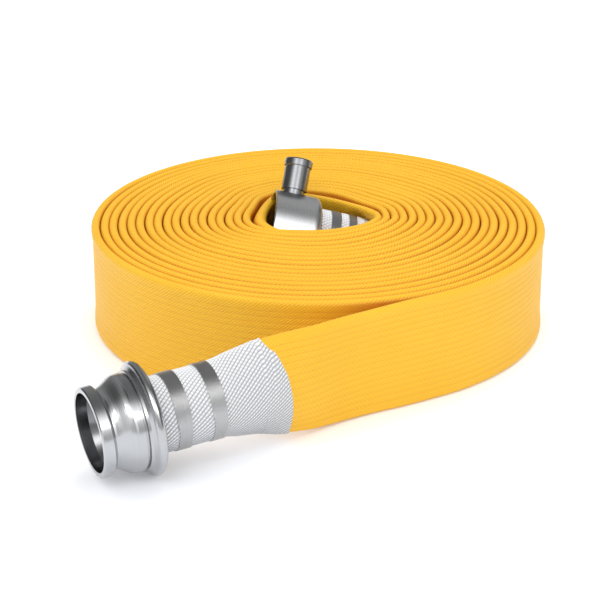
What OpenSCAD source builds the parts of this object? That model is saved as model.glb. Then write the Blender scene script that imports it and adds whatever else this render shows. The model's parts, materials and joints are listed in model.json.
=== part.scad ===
// Rolled lay-flat fire hose: a delivery hose wound flat in one roll, with a male instantaneous coupling
// on its outer end and a female instantaneous coupling, with two pull plungers, in the middle of the roll.
// Millimetres, +Z up, X to the right, Y away from the front. The origin is under the middle of the whole object.

/* [Hose] */
// Width of the flattened hose, which is the height of the roll
hose_w = 105; // [95:1:115]
// Thickness of one flattened layer
layer_t = 8.4; // [6:0.1:8.5]
// Distance from one turn to the next
pitch = 8.7; // [8.6:0.05:9.5]
// Outer radius of the roll where the last turn leaves it
roll_r = 228; // [200:1:240]
// Depth of the roll divided by its width
roll_squash = 0.96; // [0.9:0.01:1]
// Thickness of the hose wall
wall_t = 2.2; // [1.8:0.1:2.5]

/* [Male coupling] */
// Outer radius of the nose that enters a female coupling
nose_r = 39.5; // [38:0.1:40]
// Outer radius of the rounded flange
flange_r = 50.5; // [48:0.5:53]
// Radius of the waterway
waterway_r = 26.5; // [24:0.5:28]
// Distance from the flange's middle to the end of the nose
nose_len = 51; // [49:0.5:54]

/* [Female coupling] */
// Outer radius of the drum
drum_r = 43.5; // [42.5:0.1:44]
// Radius of the mouth, which takes the male nose
mouth_r = 39.9; // [39.8:0.1:40.2]
// Length of the drum
drum_len = 48; // [47:0.5:50]
// Distance of the plungers from the mouth's face
plunger_depth = 19.5; // [19:0.5:21]
// Roll of the coupling about its own axis
coupling_roll = 31; // [0:1:40]

/* [Tails and bindings] */
// Outer radius of the tails inside the hose
tail_r = 29.8; // [29:0.1:30]
// Thickness of the woven sleeve
sleeve_t = 1.2; // [0.8:0.1:1.5]
// Thickness of the wire binding
binding_t = 1.1; // [0.8:0.1:1.5]

/* [Hidden] */
$fn = 96;

// ---- shared sizes ----
hose_round_r = tail_r + wall_t;               // outside of the hose on a tail
sleeve_r = hose_round_r + sleeve_t;
binding_r = sleeve_r + binding_t;
gap = 0.3;                                    // air between loose neighbours

// ---- where things stand ----
roll_at = [-2.2, 87.1, 0];                    // middle of the roll
roll_xy = [roll_at[0], roll_at[1]];
male_at = roll_at + [-145.7, -333, 50.8];     // middle of the flange
male_turn = [0, 85.5, 24.5];                  // local +Z runs from the nose towards the hose
female_at = roll_at + [-48.5, 19.6, 82.6];    // middle of the mouth's face
female_turn = [0, 103.5, 3];                  // local +Z runs from the mouth towards the hose
leave_angle = -52;                            // where the last turn leaves the roll

// ---- curves ----
// One point of a smooth curve through p0..p3, between p1 and p2.
function between(p0, p1, p2, p3, t) =
    0.5 * (2 * p1 + (p2 - p0) * t + (2 * p0 - 5 * p1 + 4 * p2 - p3) * t * t
           + (3 * p1 - p0 - 3 * p2 + p3) * t * t * t);

// Points of a smooth closed curve through pts, with n steps from each point to the next.
function closed_curve(pts, n) = let (m = len(pts))
    [for (i = [0:m - 1], j = [0:n - 1])
        between(pts[(i + m - 1) % m], pts[i], pts[(i + 1) % m], pts[(i + 2) % m], j / n)];

// Points of a smooth open curve through pts.
function open_curve(pts, n) = let (m = len(pts))
    [for (i = [0:m - 2], j = [0:(i == m - 2 ? n : n - 1)])
        between(pts[max(i - 1, 0)], pts[i], pts[i + 1], pts[min(i + 2, m - 1)], j / n)];

function unit(v) = v / norm(v);
function left_of(v) = unit([-v[1], v[0]]);
function ahead(c, i) = c[min(i + 1, len(c) - 1)] - c[max(i - 1, 0)];
function ahead_closed(c, i) = let (m = len(c)) c[(i + 1) % m] - c[(i + m - 1) % m];

// A closed curve moved outwards by d. The curve runs anticlockwise.
function grown(c, d) = [for (i = [0:len(c) - 1]) c[i] - d * left_of(ahead_closed(c, i))];

// An open flat path as a strip of thickness t.
function strip(c, t) = concat(
    [for (i = [0:len(c) - 1]) c[i] + t / 2 * left_of(ahead(c, i))],
    [for (i = [len(c) - 1:-1:0]) c[i] - t / 2 * left_of(ahead(c, i))]);

// ---- the roll ----
function spiral_r(turned) = roll_r - pitch * turned / 360;   // outer face, turned inwards by an angle
function roll_point(turned) = let (a = leave_angle + turned)
    roll_xy + [spiral_r(turned) * cos(a), roll_squash * spiral_r(turned) * sin(a)];

// Inner face of the innermost turn, which lies loosely round the female coupling.
hole_knots = [[66, 8], [63, 35], [38, 60.5], [8, 69], [-22, 69.5], [-48, 66], [-63, 44], [-70, 10],
              [-70, -20], [-60, -37.5], [-44, -40], [-27, -32.5], [-8, -27], [14, -24.6], [44, -16]];
hole = closed_curve([for (p = hole_knots) roll_xy + p], 5);

module hose_roll() color("orange") difference() {
    linear_extrude(hose_w) polygon([for (a = [0:5:360]) roll_point(a)]);
    translate([0, 0, -1]) linear_extrude(hose_w + 2) polygon(grown(hole, layer_t + gap));
}

// The innermost turn runs in its lane from the end of the inner neck to where it joins the roll.
lane = grown(hole, layer_t / 2);
lane_joins = 5;
lane_starts = len(lane) - 5;
module hose_inner_turn() color("gold") linear_extrude(hose_w)
    polygon(strip([for (i = [lane_joins:lane_starts]) lane[i]], layer_t));

// ---- necks: the hose opens from flat to round ----
// A closed ring of points for a section with centre c, facing along d, half height h and half thickness w.
ring_sides = 24;
function neck_ring(c, d, h, w, round) = let (
        f = unit(d), s = unit(cross([0, 0, 1], f)), u = cross(f, s), p = 2 / round)
    [for (k = [0:ring_sides - 1]) let (a = 360 * k / ring_sides,
        x = sign(cos(a)) * pow(abs(cos(a)), p), y = sign(sin(a)) * pow(abs(sin(a)), p))
        c + w * x * s + h * y * u];

module loft(rings) {
    n = len(rings);
    m = ring_sides;
    polyhedron(
        points = [for (r = rings, p = r) p],
        faces = concat(
            [[for (k = [0:m - 1]) k]],
            [[for (k = [m - 1:-1:0]) (n - 1) * m + k]],
            [for (i = [0:n - 2], k = [0:m - 1])
                [i * m + k, (i + 1) * m + k, (i + 1) * m + (k + 1) % m]],
            [for (i = [0:n - 2], k = [0:m - 1])
                [i * m + k, (i + 1) * m + (k + 1) % m, i * m + (k + 1) % m]]));
}

// A direction of the male and of the female coupling's axis, from the mouth towards the hose.
function axis_of(turn) = [sin(turn[1]) * cos(turn[2]), sin(turn[1]) * sin(turn[2]), cos(turn[1])];
function on_axis(at, turn, s) = at + s * axis_of(turn);

outer_neck_from = 66;   // behind the flange
outer_neck_knots = [on_axis(male_at, male_turn, outer_neck_from), on_axis(male_at, male_turn, 115),
                    roll_at + [-6, -267, 57.5], roll_at + [22, -246, 54],
                    roll_at + [50, -226.5, hose_w / 2 + 0.3]];
outer_neck_path = open_curve(outer_neck_knots, 4);
outer_neck_steps = len(outer_neck_path) - 1;
run_out_knots = [[50, -226.5], [80, -207.6], [110, -190.5], [134.5, -175.6]];

function mixed(a, b, t) = a + (b - a) * t;

function outer_neck_ring(i, grow) = let (t = i / outer_neck_steps)
    neck_ring(outer_neck_path[i], i == 0 ? axis_of(male_turn) : ahead(outer_neck_path, i),
              mixed(hose_round_r - 0.05, hose_w / 2 - 0.3, sin(90 * t)) + grow,
              mixed(hose_round_r - 0.05, layer_t / 2, pow(t, 0.8)) + grow, mixed(2, 2.6, t));

module hose_outer_neck() color("gold") loft([for (i = [0:outer_neck_steps]) outer_neck_ring(i, 0)]);

module hose_run_out() color("gold") linear_extrude(hose_w)
    polygon(strip(open_curve([for (p = run_out_knots) roll_xy + p], 5), layer_t));

module hose_inner_neck() color("gold") {
    start = on_axis(female_at, female_turn, female_tail_to);
    end = lane[lane_starts];
    path = open_curve([start, start + 9 * axis_of(female_turn), roll_at + [60, 18, 55],
                       roll_at + [61.5, 4, 53.5], roll_at + [56.5, -9, 52.9],
                       [end[0], end[1], hose_w / 2 + 0.2]], 4);
    last = len(path) - 1;
    loft([for (i = [0:last]) let (t = i / last)
        neck_ring(path[i], i == 0 ? axis_of(female_turn) : ahead(path, i),
                  mixed(hose_round_r - 0.05, hose_w / 2, pow(t, 0.6)),
                  mixed(hose_round_r - 0.05, layer_t / 2, pow(t, 0.35)), mixed(2, 2.5, t))]);
}

// ---- the hose, the sleeve and the bindings on a coupling's tail ----
module ring(inner, outer, from, to) translate([0, 0, from]) rotate_extrude()
    translate([inner, 0]) square([outer - inner, to - from]);

// A wire binding is wound tight, so it is one closed ring with rounded edges.
module binding(from, to) rotate_extrude() polygon([
    [sleeve_r, from], [sleeve_r + 0.5, from], [binding_r, from + 0.6],
    [binding_r, to - 0.6], [sleeve_r + 0.5, to], [sleeve_r, to]]);

male_tail_from = 3.6;
male_tail_to = 66;
male_bands = [[16.5, 30.5], [48.5, 62]];
female_tail_from = drum_len + 1;
female_tail_to = 92;
female_bands = [[drum_len + 11, drum_len + 21.5], [drum_len + 29, drum_len + 37.5]];

module at_male() translate(male_at) rotate(male_turn) children();
module at_female() translate(female_at) rotate(female_turn) children();

module hose_outer_end() color("gold") at_male() ring(tail_r, hose_round_r, male_tail_from, male_tail_to);
module hose_inner_end() color("gold") at_female() ring(tail_r, hose_round_r, female_tail_from, female_tail_to);
module male_sleeve() color("white") at_male() ring(hose_round_r, sleeve_r, male_tail_from, male_tail_to);
module female_sleeve() color("white") at_female() ring(hose_round_r, sleeve_r, female_tail_from, female_tail_to);
module male_binding_front() color("silver") at_male() binding(male_bands[0][0], male_bands[0][1]);
module male_binding_rear() color("silver") at_male() binding(male_bands[1][0], male_bands[1][1]);
module female_binding_front() color("silver") at_female() binding(female_bands[0][0], female_bands[0][1]);
module female_binding_rear() color("silver") at_female() binding(female_bands[1][0], female_bands[1][1]);

// The sleeve goes on over the neck, opening out with it.
flare_steps = 5;
module male_sleeve_flare() color("white") {
    steps = flare_steps;
    n = steps + 1;
    m = ring_sides;
    outer = [for (i = [0:steps]) outer_neck_ring(i, sleeve_t)];
    inner = [for (i = [0:steps]) outer_neck_ring(i, 0.1)];
    polyhedron(
        points = [for (r = concat(outer, inner), p = r) p],
        faces = concat(
            [for (i = [0:steps - 1], k = [0:m - 1]) each let (a = i * m + k, b = i * m + (k + 1) % m)
                [[a, a + m, b + m], [a, b + m, b]]],
            [for (i = [0:steps - 1], k = [0:m - 1]) each let (a = (n + i) * m + k, b = (n + i) * m + (k + 1) % m)
                [[a, b + m, a + m], [a, b, b + m]]],
            [for (k = [0:m - 1]) each let (j = (k + 1) % m)
                [[k, j, n * m + j], [k, n * m + j, n * m + k],
                 [steps * m + k, (n + steps) * m + j, steps * m + j],
                 [steps * m + k, (n + steps) * m + k, (n + steps) * m + j]]]));
}

// ---- male coupling ----
collar_back = nose_len - 10;
waist_r = 35.2;
body_r = 43;
flange_edge = 4.6;      // radius of the flange's rounded edge
flange_mid = -3;
module male_body() color("silver") at_male() rotate_extrude() polygon(concat(
    // waterway, from the tail to the nose
    [[waterway_r, male_tail_to], [waterway_r, -20], [34.2, -collar_back], [34.8, -nose_len]],
    // nose collar with its softened edges
    [[nose_r - 1, -nose_len], [nose_r, -nose_len + 1], [nose_r, -collar_back - 0.8], [nose_r - 0.8, -collar_back]],
    // locking groove and the swept cone behind it
    [for (i = [0:10]) [waist_r + (body_r - waist_r) * (1 - cos(18 * i)) / 2, -38.5 + 1.85 * i]],
    [[body_r, -14.6], [body_r - 1.2, -14], [body_r - 1.2, -12.8]],
    [[body_r + 1.4, -12.2], [body_r + 1.4, -9.8]],
    // rounded flange
    [for (a = [-70:20:70]) [flange_r - flange_edge + flange_edge * cos(a), flange_mid + flange_edge * sin(a)]],
    [[44, male_tail_from - 1.4], [38, male_tail_from - 0.6], [tail_r, male_tail_from - 0.6]],
    // tail
    [[tail_r, male_tail_to - 2], [tail_r - 1.6, male_tail_to]]));

// ---- female coupling ----
mouth_depth = 37;
mouth_land = 11.6;      // length of the first land
relief = 0.6;
seal_t = 5;
seal_r = 41.4;
module female_body() color("silver") at_female() difference() {
    rotate_extrude() polygon(concat(
        [[mouth_r + 0.6, 0], [drum_r - 0.8, 0], [drum_r, 0.8]],
        [for (a = [0:15:90]) [drum_r - 7 + 7 * cos(a), drum_len - 7 + 7 * sin(a)]],
        [[sleeve_r + 0.8, drum_len], [sleeve_r + 0.2, drum_len + 0.6], [tail_r, drum_len + 0.6]],
        [[tail_r, female_tail_to - 2], [tail_r - 1.6, female_tail_to], [waterway_r, female_tail_to]],
        [[waterway_r, mouth_depth + seal_t], [seal_r, mouth_depth + seal_t], [seal_r, mouth_depth]],
        // guiding lands of the mouth, with a relief between them where the plungers work
        [[mouth_r, mouth_depth], [mouth_r, mouth_depth - 8], [mouth_r + relief, mouth_depth - 8.6]],
        [[mouth_r + relief, mouth_land + 0.6], [mouth_r, mouth_land], [mouth_r, 0.6]]));
    for (side = [0, 180]) on_plunger(side) {
        translate([0, 0, guide_seat]) cylinder(r = guide_r, h = 10);
        translate([0, 0, 30]) cylinder(r = guide_root_r, h = 20);
    }
}

module female_seal() color("dimgray") at_female() ring(31, seal_r - 0.1, mouth_depth + 0.1, mouth_depth + seal_t);

// ---- plungers: local +Z runs outwards from the drum's axis ----
guide_seat = 42;        // where a guide stands on the drum
guide_r = 11;
guide_root_r = 9;
guide_bore_r = 7.4;
guide_top = 66;
guide_end_t = 4;
tooth_tip = 36;
tooth_back = 50;
tooth_r = 7.1;
stem_r = 4;
knob_from = 47;
knob_plate = 70.6;
knob_r = 13;
knob_bore_r = 11.3;
cap_r = 14.3;
cap_from = 71;
cap_to = 79;
stem_end = 76;

module on_plunger(side) translate([0, 0, plunger_depth]) rotate([0, 0, 180 - coupling_roll + side])
    rotate([0, 90, 0]) children();

module guide() difference() {
    union() {
        translate([0, 0, guide_seat]) cylinder(r = guide_r, h = guide_top - guide_seat);
        translate([0, 0, 40.3]) cylinder(r = guide_root_r, h = guide_seat - 40.3);
    }
    translate([0, 0, 39]) cylinder(r = guide_bore_r, h = guide_top - guide_end_t - 39);
    cylinder(r = stem_r + 0.2, h = 80);
}

module plunger() rotate_extrude() polygon([
    [0, tooth_tip], [tooth_r - 2.6, tooth_tip], [tooth_r, tooth_tip + 3.4], [tooth_r, tooth_back],
    [stem_r, tooth_back], [stem_r, stem_end - 0.5], [stem_r - 0.5, stem_end], [0, stem_end]]);

// A compression spring round the stem, as one swept wire.
spring_turns = 4;
wire_r = 0.6;
coil_r = 5.7;
module spring() {
    steps = 14;
    rings = spring_turns * steps;
    sides = 6;
    from = tooth_back + wire_r + 0.1;
    rise = guide_top - guide_end_t - wire_r - 0.1 - from;
    polyhedron(
        points = [for (i = [0:rings], k = [0:sides - 1]) let (a = 360 * i / steps, b = 360 * k / sides,
            r = coil_r + wire_r * cos(b)) [r * cos(a), r * sin(a), from + rise * i / rings + wire_r * sin(b)]],
        faces = concat(
            [[for (k = [0:sides - 1]) k]],
            [[for (k = [sides - 1:-1:0]) rings * sides + k]],
            [for (i = [0:rings - 1], k = [0:sides - 1]) each let (a = i * sides + k, b = i * sides + (k + 1) % sides)
                [[a, a + sides, b + sides], [a, b + sides, b]]]));
}

module knob() difference() {
    union() {
        translate([0, 0, knob_from]) cylinder(r = knob_r, h = cap_from - knob_from);
        translate([0, 0, cap_from]) cylinder(r = knob_bore_r + 0.4, h = 2.4);
    }
    translate([0, 0, knob_from - 1]) cylinder(r = knob_bore_r, h = knob_plate - knob_from - 0.6);
    cylinder(r = stem_r, h = 90);
}

module cap() rotate_extrude() polygon([
    [knob_bore_r + 0.4, cap_from], [cap_r - 0.6, cap_from], [cap_r, cap_from + 0.6],
    [cap_r, cap_to - 1.6], [cap_r - 0.6, cap_to - 0.5], [cap_r - 1.8, cap_to],
    [0, cap_to], [0, cap_to - 1.8], [knob_bore_r + 0.4, cap_to - 1.8]]);

module nut() difference() {
    translate([0, 0, cap_from + 2.4]) cylinder(r = 7, h = 2.3, $fn = 6);
    cylinder(r = stem_r, h = 90);
}

module upper_guide() color("silver") at_female() on_plunger(0) guide();
module lower_guide() color("silver") at_female() on_plunger(180) guide();
module upper_plunger() color("gray") at_female() on_plunger(0) plunger();
module lower_plunger() color("gray") at_female() on_plunger(180) plunger();
module upper_spring() color("dimgray") at_female() on_plunger(0) spring();
module lower_spring() color("dimgray") at_female() on_plunger(180) spring();
module upper_knob() color("lightgray") at_female() on_plunger(0) knob();
module lower_knob() color("lightgray") at_female() on_plunger(180) knob();
module upper_cap() color("silver") at_female() on_plunger(0) cap();
module lower_cap() color("silver") at_female() on_plunger(180) cap();
module upper_nut() color("goldenrod") at_female() on_plunger(0) nut();
module lower_nut() color("goldenrod") at_female() on_plunger(180) nut();

hose_roll();
hose_inner_turn();
hose_inner_neck();
hose_inner_end();
hose_run_out();
hose_outer_neck();
hose_outer_end();
male_body();
male_sleeve();
male_sleeve_flare();
male_binding_front();
male_binding_rear();
female_body();
female_seal();
female_sleeve();
female_binding_front();
female_binding_rear();
upper_guide();
upper_plunger();
upper_spring();
upper_knob();
upper_cap();
upper_nut();
lower_guide();
lower_plunger();
lower_spring();
lower_knob();
lower_cap();
lower_nut();
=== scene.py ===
"""Looks of the rolled fire hose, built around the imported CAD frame. Metres, +Z up."""
import json
import math

import bpy
import numpy as np
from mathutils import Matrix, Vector


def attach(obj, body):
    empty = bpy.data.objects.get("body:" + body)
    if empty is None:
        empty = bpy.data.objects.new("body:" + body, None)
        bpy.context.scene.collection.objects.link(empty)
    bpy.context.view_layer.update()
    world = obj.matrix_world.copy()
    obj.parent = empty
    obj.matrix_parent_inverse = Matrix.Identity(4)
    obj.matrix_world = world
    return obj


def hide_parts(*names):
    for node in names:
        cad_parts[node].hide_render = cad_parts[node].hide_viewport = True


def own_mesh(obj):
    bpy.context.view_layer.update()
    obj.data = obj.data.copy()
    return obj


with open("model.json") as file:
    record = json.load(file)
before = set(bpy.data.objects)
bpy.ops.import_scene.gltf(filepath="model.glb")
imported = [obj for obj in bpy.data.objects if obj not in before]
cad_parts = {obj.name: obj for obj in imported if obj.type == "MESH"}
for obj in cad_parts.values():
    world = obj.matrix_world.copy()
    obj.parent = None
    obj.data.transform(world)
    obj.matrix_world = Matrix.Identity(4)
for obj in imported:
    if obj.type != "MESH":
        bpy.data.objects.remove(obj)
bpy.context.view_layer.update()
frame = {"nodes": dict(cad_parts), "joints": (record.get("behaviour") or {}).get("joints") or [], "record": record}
nodes = frame["nodes"]
mounts = {m["name"]: m for m in frame["record"]["mounts"]}
joints = {j["name"]: j for j in frame["joints"]}
MM = 0.001
ROOT = "hose_and_couplings"

# ---- where things stand, in millimetres ----
NOSE_TO_FLANGE = 46.0        # from the male mount's point back to the flange's middle
BASE_TO_ROLL = 150.0         # from the resting mount's point to the roll's middle
PLUNGER_DEPTH = 19.5         # from the mouth's face to the plungers' axis


def at(name):
    """A mount's point in millimetres and its direction."""
    m = mounts[name]
    return np.array(m["pos_m"]) / MM, np.array(m["axis"], float)


male_point, male_out = at("male_nose")
male_axis = -male_out                                   # from the nose towards the hose
male_at = male_point + NOSE_TO_FLANGE * male_axis
roll_at = at("roll_base")[0] - np.array([BASE_TO_ROLL, 0, 0])
# the female coupling's axis runs from its mouth to its tail: its angle from straight up, and its turn from +X
tilt, yaw = math.radians(103.5), math.radians(3)
female_axis = np.array([math.sin(tilt) * math.cos(yaw), math.sin(tilt) * math.sin(yaw), math.cos(tilt)])
female_at = roll_at + np.array([-48.5, 19.6, 82.6])     # middle of the mouth's face
pull_axis = np.array(joints["upper_pull_slide"]["axis"], float)
pull_at = female_at + PLUNGER_DEPTH * female_axis       # on the drum's axis, between the plungers

# ---- camera ----
CAMERA_AT = roll_at + np.array([-15.24, -1816.0, 798.07])
CAMERA_LOOKS_AT = roll_at + np.array([-15.24, 37.19, 0.0])
CAMERA_ANGLE = 17.455        # degrees across the picture
camera_data = bpy.data.cameras.new("camera")
camera_data.sensor_width = 36.0
camera_data.angle = math.radians(CAMERA_ANGLE)
camera_data.clip_start, camera_data.clip_end = 0.05, 50
camera = bpy.data.objects.new("camera", camera_data)
bpy.context.scene.collection.objects.link(camera)
camera.location = Vector(CAMERA_AT * MM)
camera.rotation_mode = "QUATERNION"
camera.rotation_quaternion = Vector((CAMERA_LOOKS_AT - CAMERA_AT) * MM).to_track_quat("-Z", "Y")
bpy.context.scene.camera = camera
bpy.context.scene.view_settings.view_transform = "Standard"


# ---- curves ----
def smooth_curve(points, steps):
    """Points of a smooth open curve through points, which may carry any number of columns."""
    p = np.asarray(points, float)
    p = np.vstack([2 * p[0] - p[1], p, 2 * p[-1] - p[-2]])
    t = (np.arange(steps) / steps)[:, None]
    out = [0.5 * (2 * b + (c - a) * t + (2 * a - 5 * b + 4 * c - d) * t ** 2 + (3 * b - a - 3 * c + d) * t ** 3)
           for a, b, c, d in zip(p[:-3], p[1:-2], p[2:-1], p[3:])]
    return np.vstack(out + [p[-2:-1]])


def lengths(p):
    return np.concatenate([[0], np.cumsum(np.linalg.norm(np.diff(p, axis=0), axis=1))])


def eased(t):
    t = np.clip(t, 0, 1)
    return t * t * (3 - 2 * t)


# ---- the hose's route ----
# Columns: x, y from the roll's middle, z, roundness, half height, upper lip radius, half thickness between the
# lips, and how far the lower part stands out from under the upper lip.
HOSE_HALF = 52.2
HOSE_R = 32.0
LIP_R = 4.3
MID_HALF = 3.1
LAST_PASS = 17                      # turns from the outermost pass to the innermost full one
LEAVE = -52.0                       # degrees, where the last turn leaves the roll
OUTER_R, PITCH, SQUASH = 228.0, 8.7, 0.96
LIP_SHARE, LIP_MOST = 0.476, 4.6    # a wound turn's upper lip, as a share of the step, and its limit
UNEVEN, RISE = 0.25, 0.55           # how far a wound turn wanders sideways and upwards
THIN = 3.3                          # the lip where the last turn is squeezed round the drum
OUTER_TAIL_FROM = 3.9               # where the hose starts behind the male flange
SLEEVE_TO = 115.0                   # how far along the male axis the sleeve's far end stands

# Radius of the innermost full turn by direction, in degrees anticlockwise from +X.
INNER_TURN = [(0, 70.3), (13, 72.8), (26.7, 75), (45, 70.5), (62, 74.5), (76, 80.5), (92, 84.5), (110.5, 90),
              (132.6, 84.5), (150.4, 73), (171.3, 69.6), (185, 67.7), (199, 64.5), (214, 55.5), (230, 44),
              (246.5, 37.8), (270.7, 34.9), (301.9, 36.2), (325.3, 42.2), (344.8, 52), (353.9, 57.6),
              (360, 61.4)]
inner_by_angle = smooth_curve(INNER_TURN, 8)


def first_pass_r(theta):
    """Radius, before the squash, of the hose's middle line on its outermost pass, by direction."""
    turned = theta - LEAVE
    return OUTER_R - PITCH * turned / 360 - PITCH / 2


def roll_station(j):
    """A station of the roll, by pass: 1 is the outermost pass in the direction of +X."""
    theta = (j - 1) * 360
    whole = math.floor(theta / 360)
    part = theta - 360 * whole
    c, s = math.cos(math.radians(part)), math.sin(math.radians(part))
    outer = first_pass_r(part) * math.hypot(c, SQUASH * s)
    inner = np.interp(part, inner_by_angle[:, 0], inner_by_angle[:, 1])
    step = (outer - inner) / LAST_PASS
    r = outer - step * whole
    uneven = UNEVEN * math.sin(math.radians(theta * 2.37) + 1.3 * whole) if whole > 0 else 0
    r += uneven
    lip = min(LIP_SHARE * step, LIP_MOST)
    rise = RISE * (1 + math.sin(math.radians(theta * 0.83) + 2.1 * whole))
    return [r * c, r * s, HOSE_HALF + 0.1 + rise, 0, HOSE_HALF, lip, min(MID_HALF, lip - 0.6), 0]


def on_axis(start, axis, s):
    return start + s * axis - roll_at


def male_station(s, roundness=1.0, half=HOSE_HALF):
    return [*on_axis(male_at, male_axis, s), roundness, half, LIP_R, MID_HALF, 0]


def female_station(s):
    return [*on_axis(female_at, female_axis, s), 1.0, HOSE_HALF, LIP_R, MID_HALF, 0]


def low(x, y, z, roundness, half, lip=LIP_R, mid=MID_HALF, lean=0.0):
    return [x, y, z, roundness, half, lip, mid, lean]


sleeve_end = male_station(SLEEVE_TO, 0.62, 68)
sleeve_end[2] -= 1.0
sleeve_end[7] = -3
outer_part = smooth_curve([
    male_station(OUTER_TAIL_FROM), male_station(36), male_station(62.5), male_station(67, 0.89, 66),
    male_station(75, 0.83, 66), male_station(86, 0.78, 67.5), male_station(100, 0.71, 68),
    sleeve_end, low(-6, -267, 55.4, 0.33, 59.5, LIP_R, MID_HALF, -5),
    low(22, -246, 53.4, 0.13, 54.8, LIP_R, MID_HALF, -5),
    low(50, -226.5, 52.6, 0.03, HOSE_HALF + 0.4, LIP_R, MID_HALF, -3), low(80, -207.6, 52.5, 0, HOSE_HALF),
    low(110, -190.2, 52.5, 0, HOSE_HALF), low(136, -173.2, 52.5, 0, HOSE_HALF),
    roll_station(1 - 43 / 360), roll_station(1 - 36 / 360)], 8)
roll_part = np.array([roll_station(j) for j in np.arange(1 - 33 / 360, 18 + 344 / 360, 3 / 360)])
inner_part = smooth_curve([
    roll_station(18 + 340 / 360), roll_station(18 + 348 / 360), low(62, 2, 52.9, 0, HOSE_HALF),
    low(63.4, 10, 52.9, 0, HOSE_HALF), low(61, 18, 52.9, 0, HOSE_HALF), low(54, 25.5, 52.9, 0, HOSE_HALF, 4.6),
    low(40.5, 36, 52.9, 0, HOSE_HALF, 5.2, MID_HALF, -1),
    low(20.5, 50.5, 52.9, 0, HOSE_HALF, 5.6, MID_HALF, -2),
    low(-4, 66, 52.9, 0, HOSE_HALF, 5.6, MID_HALF, -2), low(-24, 73.5, 52.9, 0, HOSE_HALF, 5.2),
    low(-38.5, 68, 52.9, 0, HOSE_HALF, 5.6, MID_HALF, 5),
    low(-45.5, 50, 52.9, 0, HOSE_HALF, 6.8, MID_HALF, 11), low(-50, 30, 52.9, 0, HOSE_HALF, 7.2, MID_HALF, 12),
    low(-54.3, 7, 52.8, 0, HOSE_HALF, 7.2, MID_HALF, 12), low(-53, -8, 52.6, 0, HOSE_HALF, 6.8, MID_HALF, 9),
    low(-46.5, -19, 52.2, 0, 51.8, 5.6, MID_HALF, 4), low(-37, -25.2, 51.3, 0, 50.9, 3.8),
    low(-22, -27.6, 49.6, 0, 49, THIN, 2.6),
    low(-5, -27.5, 48.4, 0, 48, THIN, 2.6), low(14, -25, 48, 0.02, 47.6, THIN, 2.6),
    low(30, -20, 47.6, 0.05, 47.3, THIN, 2.6), low(42, -12, 47, 0.1, 47, THIN, 2.6),
    low(50, -2, 45, 0.12, 45), low(52.5, 8, 45, 0.15, 45), low(51.5, 17, 47, 0.3, 46),
    low(46.5, 23, 53, 0.7, 48),
    female_station(92), female_station(76), female_station(62), female_station(49.2)], 8)
route = np.vstack([outer_part, roll_part, inner_part[8:]])
route[:, :3] += roll_at


def resampled(table, spacing):
    """The same route with its stations about spacing apart."""
    s = lengths(table[:, :3])
    keep = np.concatenate([[True], np.diff(s) > 1e-6])
    table, s = table[keep], s[keep]
    new = np.linspace(0, s[-1], int(s[-1] / spacing) + 1)
    return np.column_stack([np.interp(new, s, table[:, k]) for k in range(table.shape[1])])


def averaged(table, passes):
    """Rounds off the small corners between the joined parts of a route, and leaves its ends."""
    out = table.copy()
    for _ in range(passes):
        out[1:-1] = 0.25 * out[:-2] + 0.5 * out[1:-1] + 0.25 * out[2:]
    return out


STATION = 9.0
route = averaged(resampled(route, 3.0), 6)
route = resampled(route, STATION)


def directions(p):
    """Travel, outward side and up at each point of a route."""
    d = np.gradient(p, axis=0)
    d /= np.linalg.norm(d, axis=1)[:, None]
    side = np.column_stack([d[:, 1], -d[:, 0], np.zeros(len(d))])
    side /= np.linalg.norm(side, axis=1)[:, None]
    return d, side, np.cross(side, d)


# ---- the hose's section ----
GROOVES = [-42 + 6 * k for k in range(15)]
GROOVE_HALF, GROOVE_DEPTH = 0.55, 0.3
CREASE_SHADE_DEPTH = 3.8            # how far down between two turns the painted shade reaches its darkest
LIP_FADE = 15.0             # how far below a lip its swelling dies away
LEAN_DEPTH = 62.0           # how far below the top a leaning turn stands out by its whole lean
FACE_HALF = 48.2            # from the outer face's middle to its last point, before scaling to a station
face_heights = sorted([g + o for g in GROOVES for o in (-GROOVE_HALF, 0, GROOVE_HALF)]
                      + [g + 3 for g in GROOVES[:-1]] + [-FACE_HALF, -45, 45, FACE_HALF])
face_heights = np.array(face_heights) / FACE_HALF
groove_cut = np.array([GROOVE_DEPTH if any(abs(h * FACE_HALF - g) < 0.01 for g in GROOVES) else 0.0
                       for h in face_heights])
inner_heights = np.linspace(1, -1, 23)
lip_angles = np.radians(np.arange(15, 180, 15))
RING = len(face_heights) + len(inner_heights) + 2 * len(lip_angles)


def sections(route, cut=groove_cut):
    """Side and height of each ring point at every station: two arrays of stations by ring points."""
    m, half, lip, mid, lean = (route[:, k][:, None] for k in (3, 4, 5, 6, 7))
    low_lip = np.minimum(lip, LIP_R)
    top, bottom = half - lip, half - low_lip

    def swell(v):
        return (mid + (lip - mid) * eased(1 - (top - v) / LIP_FADE)
                + (low_lip - mid) * eased(1 - (bottom + v) / LIP_FADE))
    v_out = np.where(face_heights > 0, top, bottom) * face_heights[None]
    v_in = np.where(inner_heights > 0, top, bottom) * inner_heights[None]
    side = [swell(v_out) - cut[None], lip * np.cos(lip_angles), -swell(v_in), -low_lip * np.cos(lip_angles)]
    high = [v_out, top + lip * np.sin(lip_angles), v_in, -bottom - low_lip * np.sin(lip_angles)]
    a, b = np.hstack(side), np.hstack(high)
    a = a + lean * eased((half - b) / LEAN_DEPTH)
    # the same points on a circle, shared out by how far round the flat section they are
    flat = np.column_stack([a[len(a) // 2], b[len(a) // 2]])
    closed = lengths(np.vstack([flat, flat[:1]]))
    turn = closed[:-1] / closed[-1] * 2 * math.pi
    turn = turn - turn[len(face_heights) // 2]
    round_r = HOSE_R - cut_all(cut)[None]
    return (1 - m) * a + m * round_r * np.cos(turn), (1 - m) * b + m * round_r * np.sin(turn)


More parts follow.
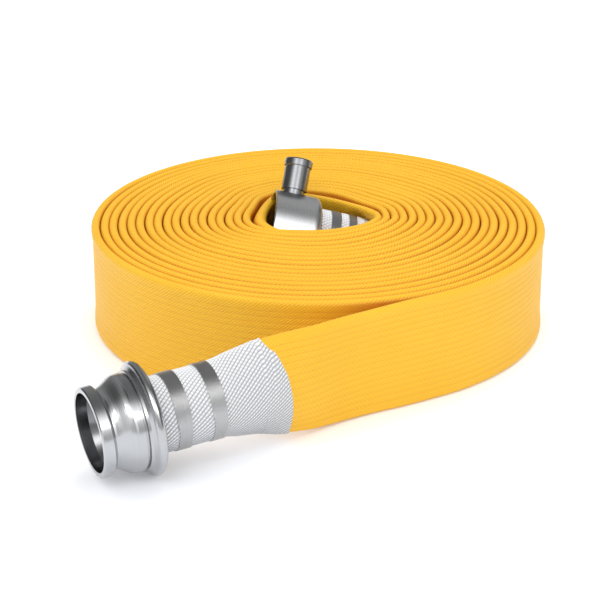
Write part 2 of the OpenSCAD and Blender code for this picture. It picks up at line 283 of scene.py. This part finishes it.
def cut_all(cut):
    return np.concatenate([cut, np.zeros(RING - len(cut))])


# ---- what the innermost turns have to clear ----
def pushed(points, start, end, radius, power=6.0, fade=None):
    """Moves points level and outwards, so that they clear a capsule from start to end.
    A fade is a height and a depth: above the height nothing moves, and the push grows to full over the depth."""
    axis = end - start
    t = np.clip(((points - start) @ axis) / (axis @ axis), 0, 1)
    off = points - (start + t[:, None] * axis)
    dist = np.linalg.norm(off, axis=1)
    wanted = (dist ** power + radius ** power) ** (1 / power)
    level = np.hypot(off[:, 0], off[:, 1])
    new = np.sqrt(np.maximum(wanted ** 2 - off[:, 2] ** 2, level ** 2))
    out = points.copy()
    near = dist < 3 * radius
    scale = np.where(near, new / np.maximum(level, 1e-6), 1) - 1
    if fade:
        scale = scale * eased((fade[0] - points[:, 2]) / fade[1])
    out[:, :2] = points[:, :2] + off[:, :2] * scale[:, None]
    return out


# ---- building a mesh piece ----
def make_piece(name, points, faces, material, uv=None, smooth=True):
    mesh = bpy.data.meshes.new(name)
    mesh.from_pydata([tuple(p) for p in np.asarray(points) * MM], [], faces)
    if uv is not None:
        layer = mesh.uv_layers.new(name="weave")
        layer.data.foreach_set("uv", np.asarray(uv, np.float32).ravel())
    mesh.polygons.foreach_set("use_smooth", [smooth] * len(mesh.polygons))
    mesh.materials.append(material)
    mesh.validate()
    piece = bpy.data.objects.new(name, mesh)
    bpy.context.scene.collection.objects.link(piece)
    return piece


def tube_faces(rows, ring, start=0, flip=False):
    """Quads between rows of closed rings."""
    out = []
    for i in range(rows - 1):
        a = start + i * ring
        for k in range(ring):
            n = (k + 1) % ring
            quad = (a + k, a + n, a + ring + n, a + ring + k)
            out.append(quad[::-1] if flip else quad)
    return out


# ---- sizes that the looks and the pieces share ----
SLEEVE_RIB = 0.0031          # metres from rib to rib
SLEEVE_RIB_TURN = 52.0       # degrees between the ribs and the hose's travel
MALE_BORE_SHADE_R = 35.0      # millimetres; the male metal nearer to its axis than this is painted darker, as shade in its hollow


# ---- materials ----
def linear(r, g, b):
    """A colour given as it looks on screen, 0 to 255."""
    def one(c):
        c /= 255
        return c / 12.92 if c <= 0.04045 else ((c + 0.055) / 1.055) ** 2.4
    return one(r), one(g), one(b), 1.0


class Nodes:
    """A material's node tree, made a node at a time."""

    def __init__(self, name):
        self.material = bpy.data.materials.new(name)
        self.material.use_nodes = True
        self.tree = self.material.node_tree
        self.shader = next(n for n in self.tree.nodes if n.type == "BSDF_PRINCIPLED")

    def add(self, kind, inputs=None, **settings):
        node = self.tree.nodes.new(kind)
        for key, value in settings.items():
            setattr(node, key, value)
        for key, value in (inputs or {}).items():
            self.put(node.inputs[key], value)
        return node

    def put(self, socket, value):
        if isinstance(value, bpy.types.NodeSocket):
            self.tree.links.new(value, socket)
        else:
            socket.default_value = value

    def math(self, operation, a, b=0.0):
        return self.add("ShaderNodeMath", {0: a, 1: b}, operation=operation).outputs[0]

    def waves(self, vector, turned, period, distortion=0.0):
        """Stripes across a direction turned from +X, of a period in metres."""
        placed = self.add("ShaderNodeMapping", {"Vector": vector, "Rotation": (0, 0, math.radians(turned))})
        node = self.add("ShaderNodeTexWave", {"Vector": placed.outputs[0], "Scale": 2 * math.pi / (20 * period),
                        "Distortion": distortion, "Detail Scale": 1.0}, wave_type="BANDS",
                        bands_direction="X", wave_profile="SIN")
        return node.outputs["Fac"]

    def noise(self, vector, scale, detail=2.0):
        node = self.add("ShaderNodeTexNoise", {"Vector": vector, "Scale": scale, "Detail": detail})
        return node.outputs["Fac"]

    def ramp(self, fac, stops):
        node = self.add("ShaderNodeValToRGB", {"Fac": fac})
        for k, (place, colour) in enumerate(stops):
            e = node.color_ramp.elements[k] if k < 2 else node.color_ramp.elements.new(place)
            e.position, e.color = place, colour
        return node.outputs["Color"]

    def mix(self, fac, a, b, blend="MIX"):
        node = self.add("ShaderNodeMix", data_type="RGBA", blend_type=blend)
        self.put(node.inputs["Factor"], fac)
        self.put([s for s in node.inputs if s.name == "A" and s.type == "RGBA"][0], a)
        self.put([s for s in node.inputs if s.name == "B" and s.type == "RGBA"][0], b)
        return next(s for s in node.outputs if s.type == "RGBA")

    def bump(self, height, distance, strength=1.0, normal=None):
        node = self.add("ShaderNodeBump", {"Height": height, "Distance": distance, "Strength": strength})
        if normal is not None:
            self.put(node.inputs["Normal"], normal)
        return node.outputs[0]


def hose_material():
    n = Nodes("hose_rubber")
    uv = n.add("ShaderNodeUVMap", uv_map="weave").outputs[0]
    place = n.add("ShaderNodeTexCoord").outputs["Object"]
    twill = n.waves(uv, 52, 0.0023, 0.2)
    cross = n.waves(uv, -40, 0.0031, 0.2)
    weave = n.math("MULTIPLY", twill, n.math("ADD", 0.55, n.math("MULTIPLY", cross, 0.45)))
    broad = n.noise(place, 9, 3)
    fine = n.noise(uv, 420, 3)
    base = n.ramp(broad, [(0.3, linear(248, 192, 32)), (0.7, linear(251, 198, 42))])
    worn = n.mix(weave, n.mix(1.0, base, (0.8, 0.71, 0.48, 1), "MULTIPLY"), base)
    # painted shade: the grooves on the outer face are darkened to a darker orange
    groove = n.add("ShaderNodeAttribute", attribute_name="groove").outputs["Fac"]
    rubber_with_painted_shade = n.mix(n.math("MULTIPLY", groove, 0.5), worn, linear(222, 140, 12))
    # painted shade between the wound turns, darkest down in the creases
    crease_shade = n.add("ShaderNodeAttribute", attribute_name="crease_shade").outputs["Fac"]
    crease_shade_amount = n.math("MULTIPLY", n.math("POWER", crease_shade, 2.0), 0.9)
    rubber_with_painted_shade = n.mix(crease_shade_amount, rubber_with_painted_shade, linear(204, 112, 6))
    n.put(n.shader.inputs["Base Color"], n.mix(n.math("MULTIPLY", fine, 0.14), rubber_with_painted_shade, linear(255, 212, 84)))
    n.put(n.shader.inputs["Roughness"], n.math("ADD", 0.40, n.math("MULTIPLY", fine, 0.16)))
    n.shader.inputs["Specular IOR Level"].default_value = 0.4
    n.put(n.shader.inputs["Normal"], n.bump(weave, 0.00045, 1.0, n.bump(fine, 0.0001, 0.5)))
    return n.material


def cloth_material():
    n = Nodes("sleeve_cloth")
    uv = n.add("ShaderNodeUVMap", uv_map="weave").outputs[0]
    place = n.add("ShaderNodeTexCoord").outputs["Object"]
    rib = n.waves(uv, SLEEVE_RIB_TURN, SLEEVE_RIB)
    yarn = n.waves(uv, SLEEVE_RIB_TURN + 76, 0.0031, 0.25)
    fuzz = n.noise(place, 900, 4)
    soft = n.noise(place, 40, 2)
    shade = n.ramp(rib, [(0.08, linear(150, 151, 154)), (0.55, linear(231, 232, 234))])
    aged = n.mix(n.math("MULTIPLY", soft, 0.10), shade, linear(214, 212, 207))
    n.put(n.shader.inputs["Base Color"], n.mix(n.math("MULTIPLY", n.math("POWER", yarn, 1.6), 0.55), aged,
          linear(170, 171, 174)))
    n.put(n.shader.inputs["Roughness"], n.math("ADD", 0.72, n.math("MULTIPLY", fuzz, 0.2)))
    n.shader.inputs["Specular IOR Level"].default_value = 0.25
    n.shader.inputs["Sheen Weight"].default_value = 0.15
    n.put(n.shader.inputs["Normal"], n.bump(yarn, -0.0004, 0.8, n.bump(fuzz, 0.0001, 0.4)))
    return n.material


def metal_material(name, colour, axis, rough=(0.2, 0.34), marks=1.0, bore=None):
    """Turned and brushed metal: fine rings round an axis, with a little staining.
    A bore is a point on the axis and a radius, both in millimetres: inside it the base colour is painted darker,
    as shade in the hollow."""
    n = Nodes(name)
    place = n.add("ShaderNodeTexCoord").outputs["Object"]
    # the coordinate along the axis of turning, in metres
    along = n.add("ShaderNodeVectorMath", {0: place, 1: tuple(axis)}, operation="DOT_PRODUCT").outputs["Value"]
    line = n.add("ShaderNodeCombineXYZ", {"X": along}).outputs[0]
    rings = n.noise(line, 2600, 3)
    broad_rings = n.noise(line, 420, 2)
    blotch = n.noise(place, 28, 4)
    speck = n.noise(place, 1400, 2)
    base = n.ramp(blotch, [(0.3, tuple(c * 0.9 for c in colour[:3]) + (1,)), (0.72, colour)])
    ringed = n.mix(n.math("MULTIPLY", rings, 0.3), base, tuple(c * 0.6 for c in colour[:3]) + (1,))
    ringed = n.mix(n.math("MULTIPLY", broad_rings, 0.35), ringed, tuple(c * 0.55 for c in colour[:3]) + (1,))
    if bore:
        start, radius = bore
        off = n.add("ShaderNodeVectorMath", {0: place, 1: tuple(start * MM)}, operation="SUBTRACT").outputs[0]
        across = n.add("ShaderNodeVectorMath", {0: off, 1: tuple(axis)}, operation="CROSS_PRODUCT").outputs[0]
        far = n.add("ShaderNodeVectorMath", {0: across}, operation="LENGTH").outputs["Value"]
        inside = n.math("LESS_THAN", far, radius * MM)
        # painted shade: inside the bore the base colour is mostly darkened to near black
        ringed = n.mix(n.math("MULTIPLY", inside, 0.7), ringed, (0.1, 0.1, 0.105, 1))
    n.put(n.shader.inputs["Base Color"], ringed)
    n.shader.inputs["Metallic"].default_value = 1.0
    low_r, high_r = rough
    n.put(n.shader.inputs["Roughness"], n.math("ADD", low_r, n.math("MULTIPLY",
          n.math("ADD", n.math("MULTIPLY", rings, 0.5), n.math("MULTIPLY", blotch, 0.5)), high_r - low_r)))
    n.put(n.shader.inputs["Normal"], n.bump(rings, 0.00003 * marks, 0.6,
          n.bump(broad_rings, 0.00008 * marks, 0.4, n.bump(speck, 0.00002, 0.5))))
    return n.material


def seal_material():
    n = Nodes("seal_rubber")
    place = n.add("ShaderNodeTexCoord").outputs["Object"]
    fine = n.noise(place, 600, 3)
    n.put(n.shader.inputs["Base Color"], n.ramp(fine, [(0.3, linear(26, 26, 27)), (0.7, linear(44, 44, 45))]))
    n.put(n.shader.inputs["Roughness"], n.math("ADD", 0.55, n.math("MULTIPLY", fine, 0.2)))
    n.put(n.shader.inputs["Normal"], n.bump(fine, 0.0001, 0.4))
    return n.material


hose_look = hose_material()
cloth_look = cloth_material()
male_look = metal_material("coupling_alloy_male", (0.55, 0.555, 0.565, 1), male_axis, (0.13, 0.3), 1.5,
                           (male_at, MALE_BORE_SHADE_R))
female_look = metal_material("coupling_alloy_female", (0.7, 0.705, 0.715, 1), female_axis, (0.22, 0.34), 2.0)
knob_look = metal_material("coupling_alloy_knob", (0.3, 0.305, 0.315, 1), pull_axis, (0.22, 0.36), 1.5)
wire_look = metal_material("binding_wire", (0.60, 0.60, 0.60, 1), male_axis, (0.25, 0.4), 0.5)
steel_look = metal_material("plunger_steel", (0.5, 0.51, 0.52, 1), pull_axis, (0.18, 0.3))
brass_look = metal_material("nut_brass", (0.72, 0.53, 0.22, 1), pull_axis, (0.2, 0.35))
seal_look = seal_material()

# ---- the hose ----
# radii that the innermost turns keep outside: the drum's rounded back, the lower knob, and the female sleeve
DRUM_CLEAR, KNOB_CLEAR, SLEEVE_CLEAR = 44.3, 16.5, 34.8
# the hose passes outside the lower knob, so its capsule is fat and stands back towards the hole's middle
KNOB_BACK = 20.0
KNOB_BACK_WAY = np.array([0.75, 0.66, 0])
KNOB_FADE = (78, 26)
ROLL_FROM = 400              # the first length of hose, which nothing moves
INNER_TAIL = 75              # the last length, which is on the female tail and isn't moved either
side2d, high2d = sections(route)
_, outward, upward = directions(route[:, :3])
along_mm = lengths(route[:, :3])
along = along_mm * MM
grid = route[:, None, :3] + side2d[..., None] * outward[:, None] + high2d[..., None] * upward[:, None]
stations = len(route)
flat_points = grid.reshape(-1, 3)
in_roll = np.repeat((np.arange(stations) * STATION > ROLL_FROM), RING)
not_tail = np.repeat(along_mm < along_mm[-1] - INNER_TAIL, RING)
movable = in_roll & not_tail
moved = flat_points[movable]
moved = pushed(moved, female_at + 43 * female_axis, female_at + 46 * female_axis, DRUM_CLEAR, 9)
knob_room = KNOB_BACK * KNOB_BACK_WAY
moved = pushed(moved, pull_at - 46 * pull_axis + knob_room, pull_at - 84 * pull_axis + knob_room,
               KNOB_BACK + KNOB_CLEAR, 3.2, KNOB_FADE)
moved = pushed(moved, female_at + 50 * female_axis, female_at + 84 * female_axis, SLEEVE_CLEAR, 9)
flat_points = flat_points.copy()
flat_points[movable] = moved
flat_points[:, 2] = np.maximum(flat_points[:, 2], 0.05)

faces = tube_faces(stations, RING)
middle_ring = np.column_stack([side2d[stations // 2], high2d[stations // 2]])
ring_round = lengths(np.vstack([middle_ring, middle_ring[:1]])) * MM
k = np.arange(RING)
uv_quad = np.empty((stations - 1, RING, 4, 2), np.float32)
uv_quad[:, :, 0, 0] = uv_quad[:, :, 1, 0] = along[:-1, None]
uv_quad[:, :, 2, 0] = uv_quad[:, :, 3, 0] = along[1:, None]
uv_quad[:, :, 0, 1] = uv_quad[:, :, 3, 1] = ring_round[k][None]
uv_quad[:, :, 1, 1] = uv_quad[:, :, 2, 1] = ring_round[k + 1][None]
caps = [tuple(range(RING))[::-1], tuple(range((stations - 1) * RING, stations * RING))]
uv_caps = np.zeros((2 * RING, 2), np.float32)
uv_all = np.vstack([uv_quad.reshape(-1, 2), uv_caps])
hose = make_piece("hose_skin", flat_points, faces + caps, hose_look, uv_all)
# painted shade for the material, by how far down a point lies between two turns: none on the run-out, nor on the
# outermost turn's outer side or the innermost turn's inner side, which nothing covers. The three are in metres of
# hose.
WOUND_FROM, COVERED_FROM, BARE_LAST = 0.62, 1.5, 0.42
below_top = np.maximum(route[:, 4][:, None] - high2d, 0)
crease_shade = np.clip(below_top / CREASE_SHADE_DEPTH, 0, 1)
wound = eased((along - WOUND_FROM) / 0.1)[:, None]
open_out = eased((along[:, None] - COVERED_FROM) / 0.1)
open_in = eased((along[-1] - BARE_LAST - along[:, None]) / 0.03)
crease_shade = crease_shade * wound * np.where(side2d > 0, open_out, open_in)
hose.data.attributes.new("crease_shade", "FLOAT", "POINT").data.foreach_set("value", crease_shade.ravel().astype(np.float32))
# which ring points lie in a groove, for the material's painted shade there
groove = hose.data.attributes.new("groove", "FLOAT", "POINT")
groove.data.foreach_set("value", np.tile(cut_all(groove_cut) / GROOVE_DEPTH, stations).astype(np.float32))
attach(hose, ROOT)
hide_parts("hose_roll", "hose_inner_turn", "hose_inner_neck", "hose_inner_end",
            "hose_run_out", "hose_outer_neck", "hose_outer_end")


# ---- woven sleeves, in millimetres ----
GIRTH = 209.0                # the cloth's flat width, and its length round the hose
RIB_RISE = 0.34
INNER_GAP, OUTER_GAP = 0.08, 0.12    # from the hose's skin to the cloth's two sides, before its thickness
SLANT_BEND = 0.4             # how much a slanted end curves, as a share of its slant


def sleeve(name, table, length, slant, around, step, thickness, hem, replaced):
    """A woven tube over the hose along a table of stations, ribbed on its outer side.
    A slant cuts its far end back at the top and lets it run on below, in a curve."""
    table = resampled(table, 1.0)
    far_s = lengths(table[:, :3])
    a, b = sections(table, np.zeros(len(face_heights)))
    _, out, up = directions(table[:, :3])
    base, normals = [], []
    for i in range(len(table)):
        ring = np.column_stack([a[i], b[i]])
        closed = np.vstack([ring, ring[:1]])
        far = lengths(closed)
        even = np.arange(around) / around * far[-1]
        p = np.column_stack([np.interp(even, far, closed[:, 0]), np.interp(even, far, closed[:, 1])])
        d = np.roll(p, -1, axis=0) - np.roll(p, 1, axis=0)
        normal = np.column_stack([d[:, 1], -d[:, 0]]) / np.linalg.norm(d, axis=1)[:, None]
        base.append(table[i, :3] + p[:, :1] * out[i] + p[:, 1:] * up[i])
        normals.append(normal[:, :1] * out[i] + normal[:, 1:] * up[i])
    base, normals = np.array(base), np.array(normals)
    high = base[-1, :, 2] - base[-1, :, 2].mean()
    high = high / np.abs(high).max()
    reach = length - slant * high - SLANT_BEND * slant * high ** 2
    rows = int(length / step) + 1
    share = np.linspace(0, 1, rows)[:, None]
    s = share * reach[None]
    place = np.clip(s / far_s[1], 0, len(table) - 1.001)
    row, part = place.astype(int), (place % 1)[..., None]
    column = np.arange(around)[None]
    surface = base[row, column] * (1 - part) + base[row + 1, column] * part
    normal = normals[row, column] * (1 - part) + normals[row + 1, column] * part
    # a whole number of ribs goes round, so that the tube closes without a step
    turn = math.radians(SLEEVE_RIB_TURN)
    whole = round(GIRTH * math.sin(turn) / (SLEEVE_RIB / MM))
    phase = 2 * math.pi * (s * math.cos(turn) / (SLEEVE_RIB / MM) - column / around * whole)
    end = np.clip((reach[None] - s) / hem, 0, 1)
    rise = thickness * np.sqrt(np.maximum(0.05, 1 - (1 - end) ** 2)) + RIB_RISE * np.sin(phase) * end
    outside = surface + normal * (OUTER_GAP + rise)[..., None]
    inside = surface + normal * INNER_GAP
    points = np.vstack([outside.reshape(-1, 3), inside.reshape(-1, 3)])
    faces = tube_faces(rows, around) + tube_faces(rows, around, rows * around, True)
    for row, flip in ((0, False), (rows - 1, True)):
        for k in range(around):
            m = (k + 1) % around
            quad = (row * around + m, row * around + k, (rows + row) * around + k, (rows + row) * around + m)
            faces.append(quad[::-1] if flip else quad)
    girth = np.arange(around + 1) / around * whole * SLEEVE_RIB / math.sin(turn)
    uv = np.empty((rows - 1, around, 4, 2), np.float32)
    uv[:, :, 0, 0], uv[:, :, 3, 0] = s[:-1] * MM, s[1:] * MM
    uv[:, :, 1, 0], uv[:, :, 2, 0] = np.roll(s[:-1], -1, axis=1) * MM, np.roll(s[1:], -1, axis=1) * MM
    uv[:, :, 0, 1] = uv[:, :, 3, 1] = girth[:-1][None]
    uv[:, :, 1, 1] = uv[:, :, 2, 1] = girth[1:][None]
    uv_all = np.vstack([uv.reshape(-1, 2), uv[:, :, ::-1].reshape(-1, 2), np.zeros((2 * around * 4, 2))])
    piece = make_piece(name, points, faces, cloth_look, uv_all)
    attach(piece, ROOT)
    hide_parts(*replaced)


# each is laid on a stretch of route that is longer than its cloth
sleeve("male_sleeve_cloth", route[along_mm < SLEEVE_TO + 40], 124, 15, 360, 0.7, 1.2, 1.0,
       ["male_sleeve", "male_sleeve_flare"])
sleeve("female_sleeve_cloth", route[along_mm > along_mm[-1] - 66][::-1], 53, 0, 330, 0.7, 1.2, 1.0,
       ["female_sleeve"])

# ---- wire bindings ----
WIRE_R = 0.52
COIL_R = 34.3                # the bindings' outer radius in the CAD; the wires stand 0.2 past it
TURN_CLOSE = 0.97            # the turns' spacing as a share of the wire's thickness


def binding(name, start, axis, first, last, node):
    """One layer of wire wound tight over a sleeve, from first to last along an axis."""
    wire = WIRE_R
    turns = (last - first) / (2 * wire * TURN_CLOSE)
    side = np.cross(axis, [0, 0, 1])
    side /= np.linalg.norm(side)
    up = np.cross(side, axis)
    per, sides = 72, 7       # points round one turn of the coil, and round the wire
    steps = int(turns * per)
    angle = np.arange(steps + 1) / per * 2 * math.pi
    s = first + wire + (last - first - 2 * wire) * np.arange(steps + 1) / steps
    radial = np.cos(angle)[:, None] * side + np.sin(angle)[:, None] * up
    centre = start + s[:, None] * axis + radial * (COIL_R - wire * 0.6)
    b = np.arange(sides) / sides * 2 * math.pi
    points = (centre[:, None] + wire * (np.cos(b)[None, :, None] * radial[:, None]
              + np.sin(b)[None, :, None] * axis[None, None]))
    faces = tube_faces(steps + 1, sides, flip=True)
    faces += [tuple(range(sides)), tuple(range(steps * sides, (steps + 1) * sides))[::-1]]
    piece = make_piece(name, points.reshape(-1, 3), faces, wire_look)
    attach(piece, ROOT)
    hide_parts(node)


for end, start, axis, bands in (("male", male_at, male_axis, [(16.5, 30.5), (48.5, 62)]),
                                ("female", female_at, female_axis, [(59, 69.5), (77, 85.5)])):
    for place, (first, last) in zip(("front", "rear"), bands):
        binding(f"{end}_wire_{place}", start, axis, first, last, f"{end}_binding_{place}")

# ---- CAD nodes that stay, with better materials ----
looks = {"male_body": male_look, "female_body": female_look, "female_seal": seal_look}
for end in ("upper", "lower"):
    looks[f"{end}_guide"] = knob_look
    looks[f"{end}_knob"] = knob_look
    looks[f"{end}_cap"] = knob_look
    looks[f"{end}_plunger"] = steel_look
    looks[f"{end}_spring"] = steel_look
    looks[f"{end}_nut"] = brass_look
for name, look in looks.items():
    for s in nodes[name].material_slots:
        s.material = look

for end, sign in (("upper", 1), ("lower", -1)):
    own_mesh(nodes[f"{end}_spring"])


# ---- floor and light ----
def stage_material():
    n = Nodes("floor")
    place = n.add("ShaderNodeTexCoord").outputs["Object"]
    grain = n.noise(place, 3, 2)
    n.put(n.shader.inputs["Base Color"], n.ramp(grain, [(0.3, (0.90, 0.92, 0.96, 1)),
                                                        (0.7, (0.92, 0.94, 0.98, 1))]))
    n.shader.inputs["Roughness"].default_value = 0.9
    n.shader.inputs["Specular IOR Level"].default_value = 0.0
    n.shader.inputs["Emission Color"].default_value = (1, 1, 1, 1)
    n.shader.inputs["Emission Strength"].default_value = 0.12
    return n.material


floor = make_piece("floor", [(-9000, -9000, 0), (9000, -9000, 0), (9000, 9000, 0), (-9000, 9000, 0)],
                   [(0, 1, 2, 3)], stage_material(), smooth=False)


def area_light(name, stand, to, size, power, mirrored=True):
    data = bpy.data.lights.new(name, "AREA")
    data.shape = "RECTANGLE"
    data.size, data.size_y = size
    data.energy = power
    light = bpy.data.objects.new(name, data)
    light.visible_glossy = mirrored
    bpy.context.scene.collection.objects.link(light)
    light.location = stand
    light.rotation_mode = "QUATERNION"
    light.rotation_quaternion = (Vector(to) - Vector(stand)).to_track_quat("-Z", "Y")


MIDDLE = (0, 0, 0.05)
area_light("key", (-0.7, -1.9, 1.75), MIDDLE, (1.3, 0.9), 12)
area_light("fill", (0.95, -1.85, 1.5), MIDDLE, (1.0, 0.5), 5)
area_light("top", (0.2, 0.7, 2.2), MIDDLE, (1.6, 1.6), 18, mirrored=False)
world = bpy.data.worlds.new("studio")
bpy.context.scene.world = world
world.use_nodes = True
tree = world.node_tree
background = next(n for n in tree.nodes if n.type == "BACKGROUND")
background.inputs["Strength"].default_value = 0.98
# what the metal reflects: bright in front, darker behind and overhead, in uneven bands from left to right
way = tree.nodes.new("ShaderNodeTexCoord")
split = tree.nodes.new("ShaderNodeSeparateXYZ")
tree.links.new(way.outputs["Generated"], split.inputs[0])


def world_ramp(fac, stops):
    node = tree.nodes.new("ShaderNodeValToRGB")
    tree.links.new(fac, node.inputs["Fac"])
    for k, (place, value) in enumerate(stops):
        e = node.color_ramp.elements[k] if k < 2 else node.color_ramp.elements.new(place)
        e.position, e.color = place, (value, value, value, 1)
    return node.outputs["Color"]


def world_mix(fac, a, b, blend="MIX"):
    node = tree.nodes.new("ShaderNodeMix")
    node.data_type, node.blend_type = "RGBA", blend
    for name, value in (("Factor", fac), ("A", a), ("B", b)):
        socket = next(s for s in node.inputs if s.name == name and (name == "Factor" or s.type == "RGBA"))
        if isinstance(value, bpy.types.NodeSocket):
            tree.links.new(value, socket)
        else:
            socket.default_value = value
    return next(s for s in node.outputs if s.type == "RGBA")


def world_half(axis):
    """A direction's part along an axis, from 0 to 1 instead of -1 to 1."""
    node = tree.nodes.new("ShaderNodeMath")
    node.operation = "MULTIPLY_ADD"
    tree.links.new(split.outputs[axis], node.inputs[0])
    node.inputs[1].default_value = node.inputs[2].default_value = 0.5
    return node.outputs[0]


height_part = world_ramp(world_half("Z"), [(0.5, 0.7), (0.7, 1.0), (0.94, 1.0), (1.0, 0.5)])
front_part = world_ramp(world_half("Y"), [(0.0, 1.0), (0.06, 1.3), (0.24, 1.75), (0.33, 0.9), (0.45, 0.36),
                                          (1.0, 0.36)])
strips = world_ramp(world_half("X"), [(0.0, 0.7), (0.1, 0.15), (0.24, 0.9), (0.36, 1.2), (0.48, 0.5),
                                      (0.6, 1.3), (0.72, 1.4), (0.82, 0.35), (0.9, 0.8), (1.0, 0.3)])
seen = world_mix(1.0, world_mix(1.0, height_part, front_part, "MULTIPLY"), strips, "MULTIPLY")
ray = tree.nodes.new("ShaderNodeLightPath")
tree.links.new(world_mix(ray.outputs["Is Glossy Ray"], (1, 1, 1, 1), seen), background.inputs["Color"])
